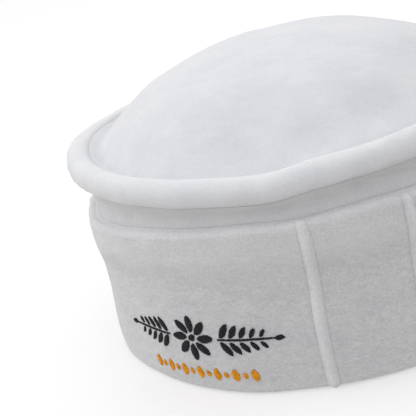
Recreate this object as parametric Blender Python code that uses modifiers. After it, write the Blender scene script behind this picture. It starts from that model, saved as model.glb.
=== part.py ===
"""A soft fleece pakol: domed crown, padded rim roll, side wall, turned-up cuff and raised ribs.

Metres, +Z up. The origin is under the middle of the hat, on the surface that it stands on. The
front, where the cuff is left plain for its needlework, faces -Y. Angles are in degrees, run from
the front towards +X, and are those of the round hat, before it settles into its slight oval.
"""

import math

import bmesh
import bpy
from mathutils import Vector

# Cloth
CLOTH = 0.0024  # thickness of the fleece of the wall and the cuff
CROWN_CLOTH = 0.0020  # thickness of the crown's fleece
SEAM_GAP = 0.0003  # space between neighbouring pieces

# Head opening
HEAD_ROUND = 0.588  # inside circumference of the opening
OVAL = 0.02  # share by which the hat is wider from side to side, and shorter from front to back

# Cuff, the turned-up band
CUFF_HEIGHT = 0.0702  # from the surface to the band's top edge
CUFF_EASE = 0.0028  # space between the wall's cloth and the cuff's
CUFF_SHOULDER = 0.0027  # rounding of the top edge
CUFF_FOLD = 0.0030  # rounding of the fold at the bottom
CUFF_TURN_IN = 0.0120  # height of the cuff's leg inside the hat

# Side wall, which shows as a recess over the cuff
NECK_HEIGHT = 0.0118  # from the cuff's top edge to the roll's underside
NECK_DEPTH = 0.0015  # how far the recess lies inside the wall below it

# Rim roll
ROLL_THICKNESS = 0.0111
ROLL_REACH = 0.0033  # from the wall's inside face out to the middle of the roll

# Crown
CROWN_RISE = 0.0369  # from the crease beside the roll up to the middle
CREASE_WIDTH = 0.0040  # from the roll to the foot of the dome
CREASE_DROP = 0.0020  # from the roll's middle down to the crease

# Ribs, the raised seams on the cuff
RIB_WIDTH = 0.0048
RIB_HEIGHT = 0.0016
RIB_COUNT = 13
RIB_PITCH = 22.6  # degrees
RIB_START = 31.4  # degrees, the first rib beside the plain front
RIB_LEAN = 1.9  # degrees from a rib's foot to its top

# Resolution
SEGMENTS = 60  # steps round the hat
ROLL_SIDES = 12
ARC_STEPS = 3  # steps in a quarter turn of a rounding

# Swell of the cuff's outer face: height as a share of CUFF_HEIGHT, swell as a share of CLOTH
CUFF_SWELL = (
    (0.860, 0.18),
    (0.765, -0.05),
    (0.680, -0.48),
    (0.480, -0.40),
    (0.240, 0.00),
)

# Side wall from the roll down: height as a share of NECK_HEIGHT up from the cuff's top edge,
# hollow as a share of NECK_DEPTH
WALL_HOLLOW = (
    (0.50, 1.00),
    (0.10, 0.60),
    (-0.50, 0.00),
)
WALL_FLARE = 0.86  # share of NECK_HEIGHT at which the wall is under the roll

# Sag of the cuff's top edge: angle, lift as a share of NECK_HEIGHT
CUFF_LIFT = (
    (-160.0, 0.06),
    (-95.0, -0.08),
    (-42.0, -0.46),
    (-18.0, -0.15),
    (-5.0, 0.00),
    (19.0, 0.08),
    (30.0, 0.00),
    (46.0, 0.08),
    (70.0, -0.06),
    (120.0, 0.05),
)

# Sag of the rim: angle, lift as a share of NECK_HEIGHT
RIM_LIFT = (
    (-165.0, 0.03),
    (-125.0, 0.05),
    (-82.0, 0.11),
    (-56.0, 0.19),
    (-36.0, 0.00),
    (-6.0, -0.10),
    (10.0, -0.18),
    (26.0, -0.29),
    (40.0, -0.11),
    (50.0, -0.10),
    (62.0, -0.03),
    (95.0, 0.03),
    (140.0, -0.05),
)

# Plan of the hem, which isn't quite round: angle, push outward as a share of CUFF_EASE
HEM_PUSH = (
    (-150.0, 0.10),
    (-100.0, -0.10),
    (-62.0, 0.10),
    (-32.0, 0.60),
    (-14.0, 0.18),
    (12.0, 0.17),
    (27.0, -0.48),
    (52.0, -0.42),
    (85.0, 0.05),
    (135.0, -0.15),
)

# Dents in the crown: angle, reach as a share of the dome's radius, depth as a share of
# CROWN_RISE, half length round the crown and half width across it as shares of the radius
CROWN_DENTS = (
    (57.0, 0.86, 0.070, 0.15, 0.09),
    (38.0, 0.90, 0.062, 0.11, 0.09),
    (19.0, 0.77, 0.034, 0.15, 0.09),
    (12.0, 0.95, 0.075, 0.22, 0.06),
    (-62.0, 0.93, 0.050, 0.14, 0.08),
    (-80.0, 0.60, 0.028, 0.35, 0.20),
    (92.0, 0.82, 0.040, 0.20, 0.10),
    (-128.0, 0.86, 0.050, 0.18, 0.09),
    (158.0, 0.88, 0.060, 0.20, 0.08),
)
DOME_SINK = 0.17  # share of CROWN_RISE by which the dome's ellipse is centred under the crease
DOME_ANGLES = (90, 80, 70, 60, 50, 41, 33, 25, 17, 11)  # degrees on the ellipse, middle to foot
RIM_FADE = 0.35  # share of the dome's radius inside which the crown ignores the rim's sag

RIB_EDGE = 0.4  # share of RIB_HEIGHT that a rib keeps along its sides
TURNED_IN_ANGLE = 150  # degrees on the cuff's top rounding at which it meets the wall

# Worked out from the sizes above
HEAD_RADIUS = HEAD_ROUND / (2 * math.pi)
WALL_RADIUS = HEAD_RADIUS + CLOTH
CUFF_RADIUS = WALL_RADIUS + CUFF_EASE + CLOTH
SHOULDER_RADIUS = WALL_RADIUS + SEAM_GAP - CUFF_SHOULDER * math.cos(math.radians(TURNED_IN_ANGLE))
ROLL_RADIUS = HEAD_RADIUS + ROLL_REACH
ROLL_UNDERSIDE = CUFF_HEIGHT + NECK_HEIGHT
ROLL_HEIGHT = ROLL_UNDERSIDE + ROLL_THICKNESS / 2
CREASE_HEIGHT = ROLL_HEIGHT - CREASE_DROP
CROWN_EDGE = ROLL_RADIUS - math.sqrt((ROLL_THICKNESS / 2) ** 2 - CREASE_DROP**2) - SEAM_GAP
DOME_RADIUS = CROWN_EDGE - CREASE_WIDTH


def smooth_step(share):
    """0 below 0, 1 above 1, and a smooth rise between."""
    share = min(max(share, 0.0), 1.0)
    return share * share * (3 - 2 * share)


def around(table, angle):
    """The second column of a table of angles, eased from row to row round the hat."""
    rows = [*table, (table[0][0] + 360.0, table[0][1])]
    angle = (angle - rows[0][0]) % 360.0 + rows[0][0]
    for (low, before), (high, after) in zip(rows, rows[1:]):
        if angle <= high:
            return before + (after - before) * smooth_step((angle - low) / (high - low))
    return rows[-1][1]


def settle(radius, angle, height):
    """Where a point of the round hat comes to lie in the soft one."""
    hem = 1 - smooth_step(height / CUFF_HEIGHT)
    rim = smooth_step((height - CUFF_HEIGHT) / NECK_HEIGHT)
    edge = (1 - hem) * (1 - rim)
    rim *= smooth_step((radius / DOME_RADIUS - RIM_FADE) / (1 - RIM_FADE))
    lift = (around(RIM_LIFT, angle) * rim + around(CUFF_LIFT, angle) * edge) * NECK_HEIGHT
    radius += around(HEM_PUSH, angle) * CUFF_EASE * hem
    turn = math.radians(angle)
    return Vector((
        radius * math.sin(turn) * (1 + OVAL),
        -radius * math.cos(turn) * (1 - OVAL),
        height + lift,
    ))


def polar(point):
    """A point's distance from the axis, its angle from the front and its height."""
    return math.hypot(point.x, point.y), math.degrees(math.atan2(point.x, -point.y)), point.z


def corner(middle, rounding, first, last):
    """Points (radius, height) of a rounding about its middle, from one angle to another."""
    steps = max(1, round(abs(last - first) / 90 * ARC_STEPS))
    points = []
    for step in range(steps + 1):
        turn = math.radians(first + (last - first) * step / steps)
        points.append((middle[0] + rounding * math.cos(turn), middle[1] + rounding * math.sin(turn)))
    return points


def cuff_face():
    """The part of the cuff that shows, from its top edge down to the fold, as (radius, height)."""
    shoulder = (SHOULDER_RADIUS, CUFF_HEIGHT - CUFF_SHOULDER)
    face = corner(shoulder, CUFF_SHOULDER, 90, 0)
    face += [(CUFF_RADIUS + swell * CLOTH, share * CUFF_HEIGHT) for share, swell in CUFF_SWELL]
    face += corner((CUFF_RADIUS - CUFF_FOLD, CUFF_FOLD), CUFF_FOLD, 0, -30)
    return face


def cuff_path():
    """The cuff's whole outer surface: out from the wall, down the face, under, and up inside."""
    shoulder = (SHOULDER_RADIUS, CUFF_HEIGHT - CUFF_SHOULDER)
    turned_in = corner(shoulder, CUFF_SHOULDER, TURNED_IN_ANGLE, 90)[:-1]
    under = corner((CUFF_RADIUS - CUFF_FOLD, CUFF_FOLD), CUFF_FOLD, -60, -90)
    inside = corner((HEAD_RADIUS + CUFF_FOLD, CUFF_FOLD), CUFF_FOLD, -90, -180)
    return [*turned_in, *cuff_face(), *under, *inside, (HEAD_RADIUS, CUFF_TURN_IN)]


def wall_path():
    """The side wall's outer surface, from under the roll down to the cuff's turned-in leg."""
    seat = ROLL_RADIUS + CLOTH / 2
    path = [(seat, ROLL_UNDERSIDE - SEAM_GAP), (seat, CUFF_HEIGHT + WALL_FLARE * NECK_HEIGHT)]
    for share, hollow in WALL_HOLLOW:
        path.append((WALL_RADIUS - hollow * NECK_DEPTH, CUFF_HEIGHT + share * NECK_HEIGHT))
    path.append((WALL_RADIUS, CUFF_TURN_IN + SEAM_GAP))
    return path


def crown_path():
    """The crown's upper surface, from its middle out to its sewn edge beside the roll."""
    foot = math.asin(DOME_SINK / (1 + DOME_SINK))
    path = []
    for degrees in (*DOME_ANGLES, math.degrees(foot)):
        turn = math.radians(degrees)
        rise = CROWN_RISE * ((1 + DOME_SINK) * math.sin(turn) - DOME_SINK)
        path.append((DOME_RADIUS * math.cos(turn) / math.cos(foot), CREASE_HEIGHT + rise))
    path[0] = (0.0, path[0][1])
    path.append((CROWN_EDGE, CREASE_HEIGHT))
    return path


def dent(point):
    """How far the crown is pressed in at a point (radius, angle)."""
    radius, angle = point
    depth = 0.0
    for at, reach, deep, half_length, half_width in CROWN_DENTS:
        turn = math.radians((angle - at + 180.0) % 360.0 - 180.0)
        along = turn * reach / half_length
        across = (radius / DOME_RADIUS - reach) / half_width
        depth += deep * CROWN_RISE * math.exp(-(along**2) - across**2)
    return depth * (1 - smooth_step((radius - DOME_RADIUS) / CREASE_WIDTH))


def material(name, colour, roughness):
    """A Principled BSDF for cloth."""
    made = bpy.data.materials.new(name)
    made.use_nodes = True
    shader = made.node_tree.nodes["Principled BSDF"]
    shader.inputs["Base Color"].default_value = (*colour, 1.0)
    shader.inputs["Roughness"].default_value = roughness
    shader.inputs["Metallic"].default_value = 0.0
    return made


def add_object(name, mesh, collection, parent, look):
    """A named object for a mesh, in the hat's collection and under its empty."""
    made = bpy.data.objects.new(name, mesh)
    collection.objects.link(made)
    made.parent = parent
    mesh.materials.clear()
    mesh.materials.append(look)
    mesh.shade_smooth()
    return made


def turned_mesh(name, path):
    """The surface that a path (radius, height) sweeps round the axis, as a mesh."""
    guide_mesh = bpy.data.meshes.new(name)
    edges = [(i, i + 1) for i in range(len(path) - 1)]
    guide_mesh.from_pydata([(radius, 0.0, height) for radius, height in path], edges, [])
    guide = bpy.data.objects.new(name + "_guide", guide_mesh)
    bpy.context.scene.collection.objects.link(guide)
    screw = guide.modifiers.new("Screw", "SCREW")
    screw.axis = "Z"
    screw.angle = 2 * math.pi
    screw.steps = SEGMENTS
    screw.render_steps = SEGMENTS
    screw.use_merge_vertices = True
    screw.merge_threshold = 0.00001
    depsgraph = bpy.context.evaluated_depsgraph_get()
    mesh = bpy.data.meshes.new_from_object(guide.evaluated_get(depsgraph))
    mesh.name = name
    bpy.data.objects.remove(guide)
    bpy.data.meshes.remove(guide_mesh)
    return mesh


def cloth(made, thickness):
    """Gives an open sheet its thickness, inward from the face that shows."""
    solidify = made.modifiers.new("Cloth", "SOLIDIFY")
    solidify.thickness = thickness
    solidify.offset = -1.0
    solidify.use_even_offset = True


def build_turned_sheet(name, path, thickness, collection, parent, look):
    """A cloth piece turned round the axis and settled."""
    mesh = turned_mesh(name, path)
    for vertex in mesh.vertices:
        vertex.co = settle(*polar(vertex.co))
    made = add_object(name, mesh, collection, parent, look)
    cloth(made, thickness)
    return made


def build_crown(collection, parent, look):
    """The domed top, pressed in at its dents along the dome's own normal."""
    mesh = turned_mesh("crown", crown_path())
    for vertex in mesh.vertices:
        radius, angle, height = polar(vertex.co)
        depth = dent((radius, angle))
        outward = Vector((radius / DOME_RADIUS**2, (height - CREASE_HEIGHT) / CROWN_RISE**2))
        if outward.length > 0:
            outward.normalize()
        vertex.co = settle(radius - depth * outward.x, angle, height - depth * outward.y)
    made = add_object("crown", mesh, collection, parent, look)
    cloth(made, CROWN_CLOTH)
    return made


def build_roll(collection, parent, look):
    """The padded roll that runs round the crown's edge."""
    bpy.ops.mesh.primitive_torus_add(
        major_segments=SEGMENTS,
        minor_segments=ROLL_SIDES,
        major_radius=ROLL_RADIUS,
        minor_radius=ROLL_THICKNESS / 2,
    )
    torus = bpy.context.object
    mesh = torus.data
    bpy.data.objects.remove(torus)
    mesh.name = "rim_roll"
    for vertex in mesh.vertices:
        radius, angle, height = polar(vertex.co)
        vertex.co = settle(radius, angle, height + ROLL_HEIGHT)
    return add_object("rim_roll", mesh, collection, parent, look)


def rib_rows():
    """Rows (radius, height, outward normal) of a rib's back, a seam gap off the cuff's face."""
    face = cuff_face()
    rows = []
    for i in range(1, len(face)):
        before = Vector(face[i - 1])
        after = Vector(face[min(i + 1, len(face) - 1)])
        run = (after - before).normalized()
        outward = Vector((-run.y, run.x))
        here = Vector(face[i]) + outward * SEAM_GAP
        rows.append((here.x, here.y))
    return rows


def build_rib(name, angle, collection, parent, look):
    """A raised seam down the cuff: a strip that is thickest along its middle."""
    rows = rib_rows()
    shape = bmesh.new()
    bmesh.ops.create_grid(shape, x_segments=2, y_segments=len(rows) - 1, size=1.0)
    crest = []
    for vertex in shape.verts:
        side = round(vertex.co.x)
        radius, height = rows[round((1 - vertex.co.y) / 2 * (len(rows) - 1))]
        turn = math.degrees(side * RIB_WIDTH / 2 / radius)
        lean = RIB_LEAN * (height / CUFF_HEIGHT - 0.5)
        crest.append(1.0 if side == 0 else RIB_EDGE)
        vertex.co = settle(radius, angle + turn + lean, height)
    mesh = bpy.data.meshes.new(name)
    shape.to_mesh(mesh)
    shape.free()
    made = add_object(name, mesh, collection, parent, look)
    group = made.vertex_groups.new(name="crest")
    for index, weight in enumerate(crest):
        group.add([index], weight, "REPLACE")
    solidify = made.modifiers.new("Cloth", "SOLIDIFY")
    solidify.thickness = RIB_HEIGHT
    solidify.offset = 1.0
    solidify.vertex_group = group.name
    return made


def main():
    for old in list(bpy.data.objects):
        bpy.data.objects.remove(old)
    hat = bpy.data.collections.new("pakol_hat")
    bpy.context.scene.collection.children.link(hat)
    stand = bpy.data.objects.new("pakol_hat", None)
    hat.objects.link(stand)

    crown_fleece = material("crown_fleece", (0.76, 0.77, 0.80), 0.95)
    roll_fleece = material("roll_fleece", (0.75, 0.76, 0.78), 0.95)
    wall_fleece = material("wall_fleece", (0.72, 0.72, 0.73), 0.95)
    cuff_fleece = material("cuff_fleece", (0.74, 0.75, 0.76), 0.95)
    rib_fleece = material("rib_fleece", (0.75, 0.76, 0.77), 0.95)

    build_crown(hat, stand, crown_fleece)
    build_roll(hat, stand, roll_fleece)
    build_turned_sheet("side_wall", wall_path(), CLOTH, hat, stand, wall_fleece)
    build_turned_sheet("cuff", cuff_path(), CLOTH, hat, stand, cuff_fleece)
    for number in range(RIB_COUNT):
        angle = RIB_START + number * RIB_PITCH
        build_rib(f"rib_{number + 1:02d}", angle, hat, stand, rib_fleece)


main()
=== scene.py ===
"""The looks of a soft fleece pakol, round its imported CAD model.

Each cloth piece is a fine skin over its CAD node's own sections, so it stays where the node is.
On top of it come soft dents and puckers, the nap of the fleece, welted ribs and needlework.
Metres, +Z up, the front towards -Y. Angles run from the front towards +X.
"""

import math

import bmesh
import bpy
import numpy as np
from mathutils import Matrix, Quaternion, Vector


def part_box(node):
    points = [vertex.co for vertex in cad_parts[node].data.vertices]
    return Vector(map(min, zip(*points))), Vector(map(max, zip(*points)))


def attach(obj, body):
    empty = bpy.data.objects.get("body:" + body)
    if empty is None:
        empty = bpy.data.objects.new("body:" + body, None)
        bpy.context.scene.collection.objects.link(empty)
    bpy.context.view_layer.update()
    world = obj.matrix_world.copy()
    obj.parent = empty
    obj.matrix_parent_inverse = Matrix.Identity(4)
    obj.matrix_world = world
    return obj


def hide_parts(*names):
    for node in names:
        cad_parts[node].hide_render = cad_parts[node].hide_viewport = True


# Camera, as the photograph was taken
CAMERA_PLACE = Vector((0.23968, -0.32989, 0.19270))
CAMERA_AIM = Vector((-0.0349, -0.0321, 0.0505))
CAMERA_ROLL = -15.3  # degrees
CAMERA_LENS = 79.63  # mm on a sensor 36 mm wide

# Resolution of the skins
CAD_STEPS = 60  # steps round the hat in the CAD model
COLUMNS = 640  # steps round the hat here
FINE_ROW = 0.0009  # between rows of points on the cloth that shows
COARSE_ROW = 0.0040  # on the cloth inside the hat
EDGE_ROW = 0.00028  # round a sewn edge, so that its shading stays clean
TURNED_IN_POINTS = 2  # points of the CAD's section between the cuff's edge and its top

# Relief of the cloth, in metres
CROWN_WAVES = 0.00035
CROWN_PUCKER = 0.00030
PUCKER_REACH = 0.014  # how far the puckers run up the crown from its seam
TROUGH_FILL = 0.0019  # how much higher the trough lies where the crown slumps onto the roll
TROUGH_FILL_AT = -92.0  # degrees
ROLL_WAVES = 0.00022
ROLL_FULLER = 0.0009  # how much fuller the roll is on the side at ROLL_FULL_AT
ROLL_FULL_AT = -45.0  # degrees
ROLL_FLATTER = 0.0012  # how much flatter its top is at ROLL_FLAT_AT
ROLL_FLAT_AT = -95.0  # degrees
WALL_WAVES = 0.00025
CUFF_WAVES = 0.00030
CUFF_CREASE = 0.00018  # depth of the faint crease under the cuff's shoulder
CUFF_CREASE_AT = 0.72  # its height, as a share of the cuff's
FLEECE_NAP = 0.00005  # height of the finest tufts that are modelled
HEART_HEIGHT = 0.04  # of a point in the hat's middle that all outer sides face away from

# How the crown's section moves to fill the trough beside the roll: (outward, up) for the two
# points above the trough's bottom, for the bottom, for the seam's corner and the two under it
CROWN_TROUGH = (
    (0, 0),
    (-0.0002, 0.0012),
    (0.0018, 0.0028),
    (0.00125, 0.0066),
    (-0.0004, 0.0040),
    (0.0015, 0.0014),
)

# How the wall's section moves, from its top corner down, to flare out softly under the roll
WALL_FLARE = (
    (0.0025, 0.00135),
    (-0.0004, 0.0006),
    (0.0016, 0.0006),
    (0.0012, -0.0002),
    (0.0003, 0),
)

# How the cuff's inner edge moves up against the wall, from its underside on
CUFF_EDGE = ((-0.0011, 0.0014), (-0.00015, 0.0026), (0, -0.0003))

# The crown's smaller dents: angle in degrees, reach as a share of the seam's radius, depth, and
# half length round the crown and half width across it, in metres
CROWN_FINE_DENTS = (
    (-60.0, 0.76, 0.0017, 0.030, 0.0085),
    (-74.0, 0.89, 0.0009, 0.022, 0.007),
    (61.0, 0.875, 0.0013, 0.013, 0.005),
    (57.0, 0.765, -0.0008, 0.013, 0.006),
    (41.0, 0.900, 0.0010, 0.012, 0.0045),
    (38.0, 0.800, -0.0005, 0.010, 0.006),
    (21.0, 0.935, 0.0006, 0.010, 0.004),
    (27.5, 0.895, -0.0006, 0.005, 0.007),
    (5.0, 0.940, 0.0004, 0.012, 0.004),
    (78.0, 0.79, 0.0006, 0.014, 0.009),
    (46.0, 0.54, 0.0004, 0.020, 0.010),
    (-20.0, 0.88, 0.0006, 0.016, 0.005),
    (-108.0, 0.80, 0.0008, 0.018, 0.009),
    (170.0, 0.70, 0.0006, 0.022, 0.010),
    (120.0, 0.90, 0.0006, 0.014, 0.006),
    (-150.0, 0.55, 0.0005, 0.026, 0.012),
)

# Look of the cuff's nap, and a band of painted highlight under its shoulder, where the cloth faces up to
# the light
STREAKS_FADE_AT = 0.050  # height where the cuff's streaks start to fade
STREAKS_FADE_OVER = 0.010  # height over which they fade
STREAKS_LEFT = 0.25  # share of the streaks that is left above
PAINTED_HIGHLIGHT_TOP = 0.078  # height that the painted highlight band's shares are of
PAINTED_HIGHLIGHT_STRAY = 0.16  # how unevenly the band's edges run, as a share of that height
PAINTED_HIGHLIGHT_BAND = (0.70, 0.84, 0.98)  # foot, middle and top of the band, as shares of it too
PAINTED_HIGHLIGHT_STRENGTH = 0.10  # how much lighter the band is in its middle

# Ribs
RIB_HALF_WIDTH = 0.0034  # with the flare that blends into the cuff
RIB_PROUD = 0.0018
RIB_BEND = 0.0012  # how far a rib's top end strays to the wearer's right, and its foot to the left
RIB_SUNK = 0.0003  # how deep the flare's edge lies in the cuff
RIB_BACK = 0.0009  # how deep the rib's back lies in the cuff
RIB_ACROSS = 14  # points across a rib's face
RIB_SWAY = 0.0003  # how far a rib wanders from side to side
RIB_PLUMP = 0.10  # share by which a rib is thicker and thinner along its course
RIB_SEED = 60  # for the first rib's differences, and one more for each next rib

# Needlework on the plain front
THREAD = 0.00042  # width of a laid thread
THREAD_LIFT = 0.00022  # how far the threads lie proud at a stitch's ends
STITCH_CROWN = 0.00035  # how far more they rise in the middle of a stitch
STITCH_POINTS = 7  # rings of points along a stitch
STITCH_SIDES = 6  # points in a ring
STITCH_HALF_WIDTH = 0.56  # of the modelled thread, as a share of THREAD
STITCH_HALF_HEIGHT = 0.42
STITCH_STRAY = 0.0001  # how far a stitch's ends stray from the drawing
SPRIG_PITCH = 0.0042  # between the pairs of leaves of a sprig
MOTIF_HEIGHT = 0.0248  # of the dark row's middle, over the surface
ACCENT_HEIGHT = 0.0092  # of the orange row's middle

# Floor and light
FLOOR_HALF = 6.0
FLOOR_GLOW = 0.10  # strength of the floor's own light
SOFTBOX_PLACE = (-0.9, -0.55, 0.75)
SOFTBOX_AIM = (0, 0, 0.06)
SOFTBOX_SIZE = 1.1
SOFTBOX_POWER = 2.4  # W


class Skin:
    """A smooth surface over the sections of a turned CAD node, at any angle and place."""

    def __init__(self, node):
        self.sections, self.poles = read_sections(node)
        self.count = self.sections.shape[1]
        if self.poles:
            across = np.roll(self.sections, CAD_STEPS // 2, axis=0)
            first, last = across[:, 1:2], across[:, -2:-1]
            self.sections = np.concatenate([first, self.sections, last], axis=1)
        beside = np.roll(self.sections, 1, axis=1) + np.roll(self.sections, -1, axis=1)
        bend = (2 * self.sections - beside) / 6
        if self.poles:
            bend[:, [0, -1]] = 0
        self.sections = self.sections + bend

    def push(self, point, outward, up):
        """Moves one of the section's points all round, away from the hat's middle and up."""
        column = self.sections[:, point + (1 if self.poles else 0)]
        column[:, :2] *= 1 + outward / np.hypot(column[:, 0], column[:, 1])[:, None]
        column[:, 2] += up

    def mean_section(self):
        """The section's own points as (radius, height), averaged round the hat."""
        inside = self.sections[:, 1:-1] if self.poles else self.sections
        radius = np.hypot(inside[..., 0], inside[..., 1])
        return np.stack([radius.mean(axis=0), inside[..., 2].mean(axis=0)], axis=-1)

    def lowest(self):
        """The number of the section's lowest point."""
        return int(self.mean_section()[:, 1].argmin())

    def grid(self, angles, places):
        """Points at every angle and every place along the section: array angle, place, xyz."""
        parts = (self.turns(angles), self.sections, self.steps_along(places))
        return np.einsum("as,spx,rp->arx", *parts, optimize=True)

    def at(self, angles, places):
        """Points at pairs of an angle and a place: array pair, xyz."""
        parts = (self.turns(angles), self.sections, self.steps_along(places))
        return np.einsum("is,spx,ip->ix", *parts, optimize=True)

    def normals(self, angles, places):
        """Outward normals at pairs of an angle and a place."""
        step = 1e-3
        round_hat = self.at(angles + step, places) - self.at(angles - step, places)
        along = self.at(angles, places + step) - self.at(angles, places - step)
        found = np.cross(along, round_hat)
        return found / np.linalg.norm(found, axis=-1, keepdims=True)

    def turns(self, angles):
        """Weights of the CAD's steps round the hat, by trigonometric interpolation."""
        own = np.arange(CAD_STEPS) * 2 * np.pi / CAD_STEPS
        away = np.asarray(angles)[:, None] - own[None, :]
        waves = np.arange(1, CAD_STEPS // 2)
        weights = 1 + 2 * np.cos(away[..., None] * waves).sum(axis=-1)
        return (weights + np.cos(away * (CAD_STEPS // 2))) / CAD_STEPS

    def steps_along(self, places):
        """Weights of the section's points, by a uniform cubic B-spline."""
        places = np.asarray(places, float) + (1 if self.poles else 0)
        base = np.floor(places).astype(int)
        if self.poles:
            base = np.clip(base, 1, self.count - 1)
        share = places - base
        parts = (
            (1 - share) ** 3 / 6,
            (3 * share**3 - 6 * share**2 + 4) / 6,
            (-3 * share**3 + 3 * share**2 + 3 * share + 1) / 6,
            share**3 / 6,
        )
        points = self.sections.shape[1]
        weights = np.zeros((len(places), points))
        for shift, part in zip((-1, 0, 1, 2), parts):
            np.add.at(weights, (np.arange(len(places)), (base + shift) % points), part)
        return weights


def oval_share():
    """By what share the hat is wider from side to side than a round one."""
    low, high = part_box("rim_roll")
    size = high - low
    return (size.x - size.y) / (size.x + size.y)


def polar(points):
    """Radius, angle and height of points, in the round hat that the oval one comes from."""
    x = points[..., 0] / (1 + OVAL)
    y = points[..., 1] / (1 - OVAL)
    return np.hypot(x, y), np.arctan2(x, -y), points[..., 2]


def read_sections(name):
    """A turned node's points as an array (step round the hat, point along the section, xyz).

    The second result says whether the section is an open one, from pole to pole.
    """
    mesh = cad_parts[name].data
    places = np.array([vertex.co for vertex in mesh.vertices])
    merged, index = np.unique(np.round(places, 6), axis=0, return_inverse=True)
    index = index.reshape(-1)
    radius, angle, height = polar(merged)
    pole = radius < 1e-4
    column = np.round(angle / (2 * np.pi) * CAD_STEPS).astype(int) % CAD_STEPS
    beside = {i: set() for i in range(len(merged))}
    for edge in mesh.edges:
        a, b = (int(index[v]) for v in edge.vertices)
        if a != b and column[a] == column[b] and not (pole[a] or pole[b]):
            beside[a].add(b)
            beside[b].add(a)
    sections = []
    for step in range(CAD_STEPS):
        own = list(np.flatnonzero((column == step) & ~pole))
        if pole.any():
            start = max((i for i in own if len(beside[i]) == 1), key=lambda i: height[i])
        else:
            start = max(own, key=lambda i: height[i] + 0.05 * radius[i])
        order = [start]
        while len(order) < len(own):
            fresh = [i for i in beside[order[-1]] if i not in order]
            order.append(max(fresh, key=lambda i: radius[i]))
        sections.append(merged[order])
    sections = np.array(sections)
    if not pole.any():
        return sections, False
    ends = merged[pole][np.argsort(-height[pole])]
    top, bottom = (np.broadcast_to(end, (CAD_STEPS, 1, 3)) for end in (ends[0], ends[-1]))
    return np.concatenate([top, sections, bottom], axis=1), True


def rows_between(skin, first, last, spacing):
    """Places along a skin's section from one of its points to another, evenly spaced."""
    places = np.linspace(first, last, math.ceil((last - first) * 24) + 1)
    radius, _, height = polar(skin.grid(all_round()[::16], places))
    steps = np.hypot(np.diff(radius.mean(axis=0)), np.diff(height.mean(axis=0)))
    run = np.concatenate([[0], np.cumsum(steps)])
    count = max(round(run[-1] / spacing), 1)
    return np.interp(np.arange(count) / count * run[-1], run, places)


def ripple(points, length, seed, waves=18):
    """Smooth irregular waves of about this length through space, mostly from -1 to 1."""
    random = np.random.default_rng(seed)
    total = np.zeros(points.shape[:-1])
    for _ in range(waves):
        heading = random.normal(size=points.shape[-1])
        heading /= np.linalg.norm(heading)
        wave = length * random.uniform(0.7, 1.4)
        total += np.sin(points @ heading * (2 * np.pi / wave) + random.uniform(0, 2 * np.pi))
    return total / math.sqrt(waves)


def bump(away, reach):
    """A soft hump of height 1 at distance 0."""
    return np.exp(-((away / reach) ** 2))


def turned_by(angle, middle):
    """The angle from the middle one, from -pi to pi."""
    return (angle - middle + np.pi) % (2 * np.pi) - np.pi


def closed_grid(name, points, wrap):
    """A mesh over a grid of points (round, along, xyz) that closes round the hat.

    Along the section it closes as well with wrap, and otherwise it ends in two poles.
    """
    columns, rows = points.shape[:2]
    numbers = np.arange(columns * rows).reshape(columns, rows)
    beside = np.roll(numbers, -1, axis=0)
    if wrap:
        ahead, beside_ahead = np.roll(numbers, -1, axis=1), np.roll(beside, -1, axis=1)
    else:
        numbers, beside = numbers[:, :-1], beside[:, :-1]
        ahead, beside_ahead = numbers + 1, beside + 1
    faces = np.stack([numbers, ahead, beside_ahead, beside], axis=-1).reshape(-1, 4)
    mesh = bpy.data.meshes.new(name)
    mesh.from_pydata(points.reshape(-1, 3).tolist(), [], faces.tolist())
    return mesh


def finish_mesh(mesh):
    """Merges doubled points, turns all faces outward and shades them smooth."""
    shape = bmesh.new()
    shape.from_mesh(mesh)
    bmesh.ops.remove_doubles(shape, verts=shape.verts, dist=1e-6)
    bmesh.ops.recalc_face_normals(shape, faces=shape.faces)
    shape.to_mesh(mesh)
    shape.free()
    mesh.shade_smooth()


def add_piece(name, mesh, look):
    """An object that rides on the hat, in the material it is given."""
    made = bpy.data.objects.new(name, mesh)
    bpy.context.scene.collection.objects.link(made)
    mesh.materials.append(look)
    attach(made, "root")
    return made


def raise_points(mesh, relief):
    """Moves a mesh's points along their normals by its relief, and inner sides with them."""
    count = len(mesh.vertices)
    points = np.empty(count * 3)
    mesh.vertices.foreach_get("co", points)
    points = points.reshape(-1, 3)
    normals = np.empty(count * 3)
    mesh.vertex_normals.foreach_get("vector", normals)
    normals = normals.reshape(-1, 3)
    away = points - (0, 0, HEART_HEIGHT)
    facing = (normals * away).sum(axis=1) / np.linalg.norm(away, axis=1)
    points = points + normals * (relief(points, normals) * np.clip(4 * facing, -1, 1))[:, None]
    mesh.vertices.foreach_set("co", points.reshape(-1))
    mesh.update()


def all_round():
    """The angles of the skins' columns."""
    return np.arange(COLUMNS) * 2 * np.pi / COLUMNS


def build_skin(name, skin, rows, relief, look):
    """A cloth piece: the skin's grid, with its relief on top."""
    points = skin.grid(all_round(), rows)
    if skin.poles:
        points[:, 0] = points[:, 0].mean(axis=0)
        points[:, -1] = points[:, -1].mean(axis=0)
    mesh = closed_grid(name, points, wrap=not skin.poles)
    finish_mesh(mesh)
    raise_points(mesh, relief)
    made = add_piece(name, mesh, look)
    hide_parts(name.removesuffix("_cloth"))
    return made


def nap(points):
    """The unevenness of brushed fleece, in metres."""
    return FLEECE_NAP * (ripple(points, 0.0030, 5) + ripple(points, 0.0056, 6))


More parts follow.
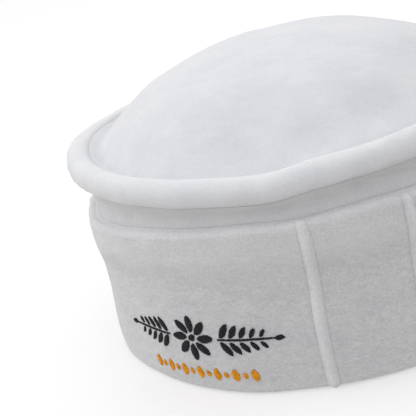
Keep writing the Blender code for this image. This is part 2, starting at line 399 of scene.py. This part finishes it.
def crown_relief(points, normals):
    """The crown's soft waves, its smaller dents, its puckers and the fill of its trough."""
    radius, angle, height = polar(points)
    over = np.clip((height - CREASE_LEVEL) / (CROWN_TOP - CREASE_LEVEL), 0, 1)
    dome = np.clip(over / 0.15, 0, 1) * np.clip((SEAM_RADIUS - 0.0008 - radius) / 0.004, 0, 1)
    waves = CROWN_WAVES * (ripple(points, 0.055, 11) + 0.35 * ripple(points, 0.020, 12))
    waves += 0.2 * CROWN_WAVES * ripple(points * (1, 1, 2.5), 0.009, 13)
    seam = np.stack([np.sin(angle), np.cos(angle)], axis=-1) * SEAM_RADIUS
    across = np.stack([radius, 0.5 * height], axis=-1)
    gathers = 0.4 * ripple(np.concatenate([seam, 0.15 * across], axis=-1), 0.0085, 14)
    gathers += ripple(np.concatenate([0.28 * seam, across], axis=-1), 0.0070, 15)
    up_from_seam = np.maximum(SEAM_RADIUS - radius, 0)
    puckers = CROWN_PUCKER * gathers * np.exp(-up_from_seam / PUCKER_REACH) * dome
    dents = np.zeros(len(points))
    for at, reach, depth, half_length, half_width in CROWN_FINE_DENTS:
        along = turned_by(angle, math.radians(at)) * reach * SEAM_RADIUS
        across = radius - reach * SEAM_RADIUS
        dents += depth * bump(along, half_length) * bump(across, half_width)
    fill = TROUGH_FILL * bump(turned_by(angle, math.radians(TROUGH_FILL_AT)), 0.6)
    fill *= bump(radius - SEAM_RADIUS + 0.0050, 0.0040) * np.clip(normals[:, 2] * 4, 0, 1)
    fill *= np.clip((SEAM_RADIUS - 0.0004 - radius) / 0.002, 0, 1)
    return (waves + nap(points) - dents) * dome + puckers + fill


def roll_relief(points, normals):
    """The padding's lumps, its fuller and its flatter side and the fine gathers of its cloth."""
    radius, angle, _ = polar(points)
    lumps = ROLL_WAVES * (ripple(points, 0.030, 21) + 0.5 * ripple(points, 0.013, 22))
    gathers = 0.35 * ROLL_WAVES * ripple(points * (1, 1, 0.25), 0.0065, 23)
    outside = np.clip((radius - SEAM_RADIUS - 0.0065) / 0.003, 0, 1)
    fuller = ROLL_FULLER * bump(turned_by(angle, math.radians(ROLL_FULL_AT)), 0.35) * outside
    on_top = np.clip(normals[:, 2], 0, 1)
    fuller -= ROLL_FLATTER * bump(turned_by(angle, math.radians(ROLL_FLAT_AT)), 0.32) * on_top
    sewn = np.clip((radius - SEAM_RADIUS - 0.0008) / 0.003, 0, 1)
    sewn *= np.clip((normals[:, 2] + 0.95) / 0.35, 0, 1)
    return (lumps + gathers + fuller + nap(points)) * sewn


def wall_relief(points, normals):
    """Shallow upright folds in the recess, clear of the roll and of the cuff's edge."""
    height = points[..., 2]
    folds = WALL_WAVES * ripple(points * (1, 1, 0.2), 0.016, 31)
    folds += 0.5 * WALL_WAVES * ripple(points, 0.010, 32) + nap(points)
    return folds * bump(height - CUFF_TOP - 0.004, 0.0035)


def cuff_relief(points, normals=None):
    """The band's slack: broad waves that end at the fold, and a crease under the shoulder."""
    radius, angle, height = polar(points)
    waves = CUFF_WAVES * (ripple(points * (1, 1, 0.8), 0.045, 41) + 0.4 * ripple(points, 0.018, 42))
    level = CUFF_CREASE_AT * CUFF_TOP + 0.0012 * np.sin(angle * 3.0 + 0.6) + 0.0006 * np.sin(angle * 11.0)
    crease = -CUFF_CREASE * bump(height - level, 0.0040) * (0.7 + 0.5 * ripple(points, 0.03, 43))
    loose = np.clip(height / 0.006, 0, 1)
    loose *= np.clip((radius - SEAM_RADIUS - 0.0055) / 0.002, 0, 1)
    return (waves + crease + nap(points)) * loose


def new_look(name):
    """A material, with its nodes, its links and its shader."""
    made = bpy.data.materials.new(name)
    made.use_nodes = True
    nodes, links = made.node_tree.nodes, made.node_tree.links
    return made, nodes, links, nodes["Principled BSDF"]


def ramped(nodes, links, value, low, high):
    """A colour that runs between two stops, each a place on the ramp and a colour."""
    ramp = nodes.new("ShaderNodeValToRGB")
    for stop, (position, colour) in zip(ramp.color_ramp.elements, (low, high)):
        stop.position = position
        stop.color = (*colour, 1)
    links.new(value, ramp.inputs["Fac"])
    return ramp.outputs["Color"]


def blended(nodes, links, kind, below, above, share=None):
    """One colour over another by this kind of blending, in full or by a linked share."""
    mix = nodes.new("ShaderNodeMix")
    mix.data_type = "RGBA"
    mix.blend_type = kind
    if share is None:
        mix.inputs["Factor"].default_value = 1.0
    else:
        links.new(share, mix.inputs["Factor"])
    links.new(below, mix.inputs["A"])
    links.new(above, mix.inputs["B"])
    return mix.outputs["Result"]


def raised(nodes, links, height, strength, distance, normal=None):
    """A bump of this strength and height in metres, on top of another one."""
    relief = nodes.new("ShaderNodeBump")
    relief.inputs["Strength"].default_value = strength
    relief.inputs["Distance"].default_value = distance
    links.new(height, relief.inputs["Height"])
    if normal is not None:
        links.new(normal, relief.inputs["Normal"])
    return relief.outputs["Normal"]


def streak(nodes, links, place, lay, colour):
    """Darkens a colour along the lay of the nap, less and less towards the cuff's shoulder."""
    streaks = ramped(nodes, links, lay, (0.36, (0.90, 0.90, 0.905)), (0.62, (1, 1, 1)))
    split = nodes.new("ShaderNodeSeparateXYZ")
    links.new(place, split.inputs["Vector"])
    fade = nodes.new("ShaderNodeMapRange")
    fade.inputs["From Min"].default_value = STREAKS_FADE_AT
    fade.inputs["From Max"].default_value = STREAKS_FADE_AT + STREAKS_FADE_OVER
    fade.inputs["To Min"].default_value = 1.0
    fade.inputs["To Max"].default_value = STREAKS_LEFT
    links.new(split.outputs["Z"], fade.inputs["Value"])
    return blended(nodes, links, "MULTIPLY", colour, streaks, fade.outputs["Result"])


def paint_shoulder_highlight(nodes, links, place, colour):
    """Paints highlight into a colour: an uneven lighter band under the cuff's shoulder, where the cloth
    faces up to the light.
    """
    texture = nodes.new("ShaderNodeTexNoise")
    texture.inputs["Scale"].default_value = 60
    texture.inputs["Detail"].default_value = 4
    links.new(place, texture.inputs["Vector"])
    split = nodes.new("ShaderNodeSeparateXYZ")
    links.new(place, split.inputs["Vector"])
    level = nodes.new("ShaderNodeMath")
    level.operation = "MULTIPLY"
    level.inputs[1].default_value = 1 / PAINTED_HIGHLIGHT_TOP
    links.new(split.outputs["Z"], level.inputs[0])
    stray = nodes.new("ShaderNodeMath")
    stray.operation = "MULTIPLY_ADD"
    stray.inputs[1].default_value = PAINTED_HIGHLIGHT_STRAY
    links.new(texture.outputs["Fac"], stray.inputs[0])
    links.new(level.outputs["Value"], stray.inputs[2])
    ramp = nodes.new("ShaderNodeValToRGB")
    ramp.color_ramp.interpolation = "EASE"
    foot, middle, top = PAINTED_HIGHLIGHT_BAND
    ramp.color_ramp.elements[0].position = foot
    ramp.color_ramp.elements[0].color = (0, 0, 0, 1)
    ramp.color_ramp.elements[1].position = top
    ramp.color_ramp.elements[1].color = (0, 0, 0, 1)
    ramp.color_ramp.elements.new(middle).color = (PAINTED_HIGHLIGHT_STRENGTH, PAINTED_HIGHLIGHT_STRENGTH, PAINTED_HIGHLIGHT_STRENGTH, 1)
    links.new(stray.outputs["Value"], ramp.inputs["Fac"])
    return blended(nodes, links, "SCREEN", colour, ramp.outputs["Color"])


def fleece(name, colour, sheen, grain, tufted=1.0, brushed=False, soaks=0.45, soak_depth=0.0022):
    """White brushed fleece: a tufted, slightly mottled nap with a soft sheen.

    The grain is how much darker the gaps between the tufts are. Light soaks into the cloth by
    the share of soaks, as deep as soak_depth.
    """
    made, nodes, links, shader = new_look(name)
    shader.inputs["Roughness"].default_value = 0.92
    shader.inputs["Specular IOR Level"].default_value = 0.15
    shader.inputs["Sheen Weight"].default_value = sheen
    shader.inputs["Sheen Roughness"].default_value = 0.45
    shader.inputs["Sheen Tint"].default_value = (1, 1, 1, 1)
    shader.inputs["Subsurface Weight"].default_value = soaks
    shader.inputs["Subsurface Radius"].default_value = (1, 1, 1)
    shader.inputs["Subsurface Scale"].default_value = soak_depth
    place = nodes.new("ShaderNodeTexCoord").outputs["Object"]

    def noise(scale, detail, roughness, distortion=0.0, stretch=(1, 1, 1)):
        mapping = nodes.new("ShaderNodeMapping")
        mapping.inputs["Scale"].default_value = stretch
        links.new(place, mapping.inputs["Vector"])
        texture = nodes.new("ShaderNodeTexNoise")
        texture.inputs["Scale"].default_value = scale
        texture.inputs["Detail"].default_value = detail
        texture.inputs["Roughness"].default_value = roughness
        texture.inputs["Distortion"].default_value = distortion
        links.new(mapping.outputs["Vector"], texture.inputs["Vector"])
        return texture.outputs["Fac"]

    tufts = noise(1100, 3, 0.65, 0.4)
    if brushed:
        lay = noise(330, 3, 0.6, 0.9, stretch=(1, 1, 2.3))
    else:
        lay = noise(520, 2, 0.5, 0.8, stretch=(1, 1, 1.7))
    cloud = noise(70, 2, 0.5)

    low = [channel * (1 - grain) for channel in colour]
    grained = ramped(nodes, links, tufts, (0.30, low), (0.68, colour))
    mottled = ramped(nodes, links, cloud, (0.35, (0.955, 0.957, 0.965)), (0.65, (1, 1, 1)))
    final = blended(nodes, links, "MULTIPLY", grained, mottled)
    # With brushed: streaks along the nap, and a band of painted highlight under the cuff's shoulder
    if brushed:
        final = paint_shoulder_highlight(nodes, links, place, streak(nodes, links, place, lay, final))
    links.new(final, shader.inputs["Base Color"])

    coarse = raised(nodes, links, lay, 0.35 * tufted, 0.0006)
    fine = raised(nodes, links, tufts, 0.45 * tufted, 0.00035, coarse)
    links.new(fine, shader.inputs["Normal"])
    return made


def thread(name, colour):
    """Dull embroidery thread, unevenly dark as the twist of its ply leaves it."""
    made, nodes, links, shader = new_look(name)
    shader.inputs["Roughness"].default_value = 0.6
    shader.inputs["Specular IOR Level"].default_value = 0.25
    place = nodes.new("ShaderNodeTexCoord").outputs["Object"]
    texture = nodes.new("ShaderNodeTexNoise")
    texture.inputs["Scale"].default_value = 900
    texture.inputs["Detail"].default_value = 2
    links.new(place, texture.inputs["Vector"])
    twist = texture.outputs["Fac"]
    darker = [channel * 0.6 for channel in colour]
    final = ramped(nodes, links, twist, (0.30, darker), (0.70, colour))
    links.new(final, shader.inputs["Base Color"])
    links.new(raised(nodes, links, twist, 0.5, 0.0001), shader.inputs["Normal"])
    return made


def build_crown(look):
    """The dome, its trough beside the roll, and the hidden underside of its cloth."""
    skin = Skin("crown")
    section = skin.mean_section()
    corner = int(np.flatnonzero(section[:, 0] > SEAM_RADIUS - 0.001)[0])
    for point, (outward, up) in enumerate(CROWN_TROUGH, start=corner - 3):
        skin.push(point, outward, up)
    rows = np.concatenate([
        rows_between(skin, 0, corner - 0.4, FINE_ROW * 1.15),
        rows_between(skin, corner - 0.4, corner + 0.4, EDGE_ROW),
        rows_between(skin, corner + 0.4, len(section) - 1, COARSE_ROW),
        [len(section) - 1],
    ])
    build_skin("crown_cloth", skin, rows, crown_relief, look)


def build_roll(look):
    """The padded roll, as a closed ring."""
    skin = Skin("rim_roll")
    rows = rows_between(skin, 0, skin.count, FINE_ROW)
    made = build_skin("rim_roll_cloth", skin, rows, roll_relief, look)


def build_wall(look):
    """The side wall, flared softly under the roll."""
    skin = Skin("side_wall")
    for point, (outward, up) in enumerate(WALL_FLARE):
        skin.push(point, outward, up)
    half = skin.count // 2
    rows = np.concatenate([
        rows_between(skin, -0.4, 0.5, EDGE_ROW),
        rows_between(skin, 0.5, half - 2, FINE_ROW),
        rows_between(skin, half - 2, skin.count - 0.4, COARSE_ROW),
    ])
    build_skin("side_wall_cloth", skin, rows, wall_relief, look)


def shaped_cuff():
    """The cuff's skin, with its inner edge drawn up against the wall."""
    skin = Skin("cuff")
    for point, (outward, up) in enumerate(CUFF_EDGE, start=skin.count - TURNED_IN_POINTS - 1):
        skin.push(point, outward, up)
    return skin


def build_cuff(skin, look):
    """The turned-up band, its fold, and its leg inside the hat."""
    lowest = skin.lowest()
    edge = skin.count - TURNED_IN_POINTS
    leg = skin.count // 2 - TURNED_IN_POINTS
    rows = np.concatenate([
        rows_between(skin, 0, lowest, FINE_ROW),
        rows_between(skin, lowest, leg, FINE_ROW * 2),
        rows_between(skin, leg, edge - 1, COARSE_ROW),
        rows_between(skin, edge - 1, skin.count, EDGE_ROW),
    ])
    build_skin("cuff_cloth", skin, rows, cuff_relief, look)


def rib_course(name, skin):
    """A rib's middle line on the cuff, as places along the section and angles."""
    points = np.array([vertex.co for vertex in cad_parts[name].data.vertices])
    _, angle, height = polar(points)
    middle = angle[np.argmax(height)]
    away = turned_by(angle, middle)
    slope, start = np.polyfit(height, away, 1)
    lowest = skin.lowest()
    places = rows_between(skin, -1, lowest, FINE_ROW)
    heights = skin.at(np.full(len(places), middle), places)[:, 2]
    return places, middle + start + slope * heights


def build_rib(name, skin, seed, look):
    """A welt: rounded on top, flared at its sides and sunk into the cuff all round."""
    places, course = rib_course(name, skin)
    random = np.random.default_rng(seed)
    rows = len(places)
    across = np.linspace(-1, 1, RIB_ACROSS)
    share = np.linspace(0, 1, rows)
    sway = RIB_SWAY * np.sin(share * random.uniform(5, 8) + random.uniform(0, 6))
    sway -= RIB_BEND * np.clip(1 - share / 0.35, 0, 1) ** 2
    sway += RIB_BEND * np.clip((share - 0.55) / 0.45, 0, 1) ** 1.5
    plump = 1 + RIB_PLUMP * np.sin(share * random.uniform(14, 20) + random.uniform(0, 6))
    ends = np.clip(np.minimum(share / 0.16, (1 - share) / 0.05), 0, 1) ** 0.7
    face = (0.5 + 0.5 * np.cos(np.pi * across)) ** 1.1
    loop_across = np.concatenate([across, across[::-1][1:-1:3]])
    loop_lift = np.concatenate([face, np.full(len(loop_across) - RIB_ACROSS, np.nan)])
    radius = np.hypot(*skin.at(course, places)[:, :2].T)
    points = []
    for side, lift in zip(loop_across, loop_lift):
        turn = (sway + side * RIB_HALF_WIDTH) / radius
        on_cuff = skin.at(course + turn, places)
        outward = skin.normals(course + turn, places)
        if np.isnan(lift):
            height = np.full(rows, -RIB_BACK)
        else:
            height = RIB_PROUD * plump * lift * ends - RIB_SUNK * (1 - lift * ends)
        points.append(on_cuff + outward * (height + cuff_relief(on_cuff))[:, None])
    points = np.array(points)
    points[..., 2] = np.maximum(points[..., 2], FLOOR_LEVEL)
    mesh = closed_strip(name, points)
    made = add_piece(name + "_welt", mesh, look)
    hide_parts(name)


def closed_strip(name, points):
    """A mesh over a grid (round the strip, along it, xyz), with its two ends filled."""
    around, rows = points.shape[:2]
    numbers = np.arange(around * rows).reshape(around, rows)
    beside = np.roll(numbers, -1, axis=0)
    faces = np.stack([numbers[:, :-1], numbers[:, 1:], beside[:, 1:], beside[:, :-1]], axis=-1)
    faces = faces.reshape(-1, 4).tolist()
    faces += [numbers[:, 0].tolist(), numbers[::-1, -1].tolist()]
    mesh = bpy.data.meshes.new(name)
    mesh.from_pydata(points.reshape(-1, 3).tolist(), [], faces)
    finish_mesh(mesh)
    return mesh


def leaf(base, heading, length, width, fullness=1.0):
    """Satin stitches across a leaf: each a pair of ends (x, y) on the flattened cuff.

    The leaf grows from its base along its heading, in degrees. A higher fullness blunts it.
    """
    along = np.array([math.cos(math.radians(heading)), math.sin(math.radians(heading))])
    across = np.array([-along[1], along[0]])
    slant = along * 0.35
    stitches = []
    for run in np.arange(THREAD / 2, length, THREAD):
        half = width / 2 * math.sin(math.pi * run / length) ** (1 / fullness)
        if half < THREAD * 0.6:
            continue
        middle = np.array(base) + along * run
        stitches.append((middle - (across + slant) * half, middle + (across + slant) * half))
    return stitches


def rosette(middle, petals, inner, outer, width):
    """Petals round an open middle with a small knot in it."""
    stitches = []
    for number in range(petals):
        heading = 90 + number * 360 / petals
        turn = math.radians(heading)
        base = (middle[0] + inner * math.cos(turn), middle[1] + inner * math.sin(turn))
        stitches += leaf(base, heading, outer - inner, width, fullness=1.6)
    knot = inner * 0.6
    stitches += leaf((middle[0] - knot, middle[1]), 0, knot * 2, knot * 2, fullness=2.2)
    return stitches


def sprig(base, side, pairs):
    """A stem to the left or the right, with pairs of leaves that get smaller along it."""
    stem = SPRIG_PITCH * pairs + 0.003
    stitches = leaf(base, 90 - side * 90, stem, 0.0009, fullness=6.0)
    for number in range(pairs):
        size = 1 - 0.55 * number / pairs
        foot = (base[0] + side * (0.0016 + SPRIG_PITCH * number), base[1])
        for up in (-1, 1):
            heading = math.degrees(math.atan2(up * 0.85, side * 0.62))
            start = (foot[0], foot[1] + up * 0.0007)
            stitches += leaf(start, heading, 0.0076 * size, 0.0030 * size, fullness=1.3)
    tip = (base[0] + side * stem, base[1])
    stitches += leaf(tip, 90 - side * 90, 0.0042, 0.0022, fullness=1.3)
    return stitches


def dark_motif():
    """An eight-petalled rosette between two leafy sprigs."""
    middle = (0, MOTIF_HEIGHT)
    stitches = rosette(middle, 8, 0.0026, 0.0100, 0.0036)
    for side in (-1, 1):
        stitches += sprig((side * 0.0116, MOTIF_HEIGHT), side, 5)
    return stitches


def accent_motif():
    """A row of small upright leaves, large and small by turns."""
    stitches = []
    for number in range(-6, 7):
        tall, wide = (0.0054, 0.0034) if number % 2 == 0 else (0.0028, 0.0022)
        base = (number * 0.0041, ACCENT_HEIGHT - tall / 2)
        stitches += leaf(base, 90, tall, wide, fullness=1.3)
    return stitches


def add_stitch(shape, middle, outward, beside):
    """A closed thread round a line of points, a little wider than it is high."""
    turns = np.arange(STITCH_SIDES) * 2 * np.pi / STITCH_SIDES
    rings = []
    for centre, normal, across in zip(middle, outward, beside):
        ring = [
            shape.verts.new(
                centre
                + across * math.cos(turn) * THREAD * STITCH_HALF_WIDTH
                + normal * math.sin(turn) * THREAD * STITCH_HALF_HEIGHT
            )
            for turn in turns
        ]
        rings.append(ring)
    for first, second in zip(rings, rings[1:]):
        for i in range(STITCH_SIDES):
            j = (i + 1) % STITCH_SIDES
            shape.faces.new((first[i], first[j], second[j], second[i]))
    shape.faces.new(rings[0])
    shape.faces.new(rings[-1])


def build_needlework(name, stitches, skin, look, seed):
    """Satin stitches on the cuff: each a laid thread that rises in its middle."""
    random = np.random.default_rng(seed)
    lowest = skin.lowest()
    face = np.linspace(TURNED_IN_POINTS, lowest, 400)
    levels = skin.at(np.zeros(len(face)), face)[:, 2]
    along = np.linspace(0, 1, STITCH_POINTS)
    shape = bmesh.new()
    for first_end, last_end in stitches:
        first_end = first_end + random.uniform(-STITCH_STRAY, STITCH_STRAY, 2)
        last_end = last_end + random.uniform(-STITCH_STRAY, STITCH_STRAY, 2)
        flat = first_end + (last_end - first_end) * along[:, None]
        length = np.linalg.norm(last_end - first_end)
        places = np.interp(-flat[:, 1], -levels, face)
        angles = flat[:, 0] / BAND_RADIUS
        on_cuff = skin.at(angles, places)
        outward = skin.normals(angles, places)
        swell = min(STITCH_CROWN, length * 0.12) * np.sin(np.pi * along)
        lift = THREAD_LIFT * (0.35 + 0.65 * np.sin(np.pi * along) ** 0.5) + swell
        lift += random.uniform(0, 0.00005)
        middle = on_cuff + outward * (lift + cuff_relief(on_cuff))[:, None]
        beside = np.cross(outward, np.gradient(middle, axis=0))
        beside /= np.linalg.norm(beside, axis=1, keepdims=True)
        add_stitch(shape, middle, outward, beside)
    bmesh.ops.recalc_face_normals(shape, faces=shape.faces)
    mesh = bpy.data.meshes.new(name)
    shape.to_mesh(mesh)
    shape.free()
    mesh.shade_smooth()
    add_piece(name, mesh, look)


def build_floor():
    """A plain pale floor, wide enough to fill the view."""
    mesh = bpy.data.meshes.new("floor")
    half = FLOOR_HALF
    corners = [(-half, -half, 0), (half, -half, 0), (half, half, 0), (-half, half, 0)]
    mesh.from_pydata(corners, [], [(0, 1, 2, 3)])
    floor = bpy.data.objects.new("floor", mesh)
    bpy.context.scene.collection.objects.link(floor)
    look, _, _, shader = new_look("floor_white")
    shader.inputs["Base Color"].default_value = (0.97, 0.97, 0.97, 1)
    shader.inputs["Roughness"].default_value = 0.9
    shader.inputs["Specular IOR Level"].default_value = 0.1
    shader.inputs["Emission Color"].default_value = (1, 1, 1, 1)
    shader.inputs["Emission Strength"].default_value = FLOOR_GLOW
    mesh.materials.append(look)
    floor.visible_diffuse = False


def build_camera():
    """The camera, at the place and with the lens that were fitted to the photograph."""
    data = bpy.data.cameras.new("camera")
    data.sensor_width = 36
    data.lens = CAMERA_LENS
    data.clip_start = 0.01
    data.clip_end = 50
    camera = bpy.data.objects.new("camera", data)
    bpy.context.scene.collection.objects.link(camera)
    camera.location = CAMERA_PLACE
    camera.rotation_mode = "QUATERNION"
    level = (CAMERA_AIM - CAMERA_PLACE).to_track_quat("-Z", "Y")
    camera.rotation_quaternion = level @ Quaternion((0, 0, 1), math.radians(CAMERA_ROLL))
    bpy.context.scene.camera = camera


def area_light(name, place, aim, size, power):
    """A round soft light, turned to the point that it is aimed at."""
    data = bpy.data.lights.new(name, "AREA")
    data.shape = "DISK"
    data.size = size
    data.energy = power
    lamp = bpy.data.objects.new(name, data)
    bpy.context.scene.collection.objects.link(lamp)
    lamp.location = place
    lamp.rotation_mode = "QUATERNION"
    lamp.rotation_quaternion = (Vector(aim) - Vector(place)).to_track_quat("-Z", "Y")


def build_light():
    """A pale room with a dim band at table height, and one large soft light from the left."""
    world = bpy.data.worlds.new("room")
    bpy.context.scene.world = world
    world.use_nodes = True
    nodes, links = world.node_tree.nodes, world.node_tree.links
    place = nodes.new("ShaderNodeTexCoord")
    split = nodes.new("ShaderNodeSeparateXYZ")
    ramp = nodes.new("ShaderNodeValToRGB")
    ramp.color_ramp.elements[0].position = 0.40
    ramp.color_ramp.elements[0].color = (0.38, 0.375, 0.37, 1)
    ramp.color_ramp.elements[1].position = 0.62
    ramp.color_ramp.elements[1].color = (0.92, 0.92, 0.93, 1)
    table = ramp.color_ramp.elements.new(0.12)
    table.color = (0.95, 0.94, 0.93, 1)
    rise = nodes.new("ShaderNodeMath")
    rise.operation = "MULTIPLY_ADD"
    rise.inputs[1].default_value = 0.5
    rise.inputs[2].default_value = 0.5
    links.new(place.outputs["Generated"], split.inputs["Vector"])
    links.new(split.outputs["Z"], rise.inputs[0])
    links.new(rise.outputs["Value"], ramp.inputs["Fac"])
    links.new(ramp.outputs["Color"], nodes["Background"].inputs["Color"])
    nodes["Background"].inputs["Strength"].default_value = 1.0
    area_light("left_softbox", SOFTBOX_PLACE, SOFTBOX_AIM, SOFTBOX_SIZE, SOFTBOX_POWER)


def set_colours():
    """Shows the light as it is, with no tone curve."""
    scene = bpy.context.scene
    scene.view_settings.view_transform = "Standard"
    scene.view_settings.look = "None"
    scene.view_settings.exposure = 0.0


def main():
    """Builds the camera, the light, the floor and each piece of the hat."""
    build_camera()
    build_light()
    build_floor()
    set_colours()
    crown_fleece = fleece(
        "crown_fleece_nap", (0.808, 0.813, 0.833), sheen=0.25, grain=0.06, tufted=0.5
    )
    roll_fleece = fleece(
        "roll_fleece_nap", (0.79, 0.795, 0.81), sheen=0.60, grain=0.07, tufted=0.6,
        soaks=0.8, soak_depth=0.0070,
    )
    # The wall's fleece is darker than the rest: painted shade for the recess under the roll
    wall_painted_shade_fleece = fleece("wall_painted_shade_fleece_nap", (0.73, 0.73, 0.738), sheen=0.20, grain=0.10)
    cuff_fleece = fleece(
        "cuff_fleece_nap", (0.795, 0.797, 0.803), sheen=0.25, grain=0.17, tufted=1.6,
        brushed=True,
    )
    # The ribs' fleece is lighter than the cuff's: painted light for the light that their proud faces
    # catch
    rib_painted_light_fleece = fleece(
        "rib_painted_light_fleece_nap", (0.83, 0.832, 0.84), sheen=0.30, grain=0.14, tufted=1.4
    )
    charcoal = thread("charcoal_thread", (0.011, 0.011, 0.015))
    orange = thread("orange_thread", (0.98, 0.40, 0.012))

    build_crown(crown_fleece)
    build_roll(roll_fleece)
    build_wall(wall_painted_shade_fleece)
    cuff_skin = shaped_cuff()
    build_cuff(cuff_skin, cuff_fleece)
    ribs = sorted(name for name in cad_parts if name.startswith("rib_"))
    for number, name in enumerate(ribs):
        build_rib(name, cuff_skin, RIB_SEED + number, rib_painted_light_fleece)
    build_needlework("needlework_dark", dark_motif(), cuff_skin, charcoal, seed=81)
    build_needlework("needlework_accent", accent_motif(), cuff_skin, orange, seed=82)


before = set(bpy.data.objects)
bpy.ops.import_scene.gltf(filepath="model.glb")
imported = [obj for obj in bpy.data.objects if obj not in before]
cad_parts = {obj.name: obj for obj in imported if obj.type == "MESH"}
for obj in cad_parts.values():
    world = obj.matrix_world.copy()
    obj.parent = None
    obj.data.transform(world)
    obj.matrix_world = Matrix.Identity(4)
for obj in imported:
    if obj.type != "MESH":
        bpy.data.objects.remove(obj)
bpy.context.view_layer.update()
OVAL = oval_share()
CROWN_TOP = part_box("crown")[1].z
CREASE_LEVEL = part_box("crown")[0].z
SEAM_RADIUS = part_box("crown")[1].x / (1 + OVAL)
CUFF_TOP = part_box("cuff")[1].z
BAND_RADIUS = -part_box("cuff")[0].y
FLOOR_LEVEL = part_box("cuff")[0].z
main()
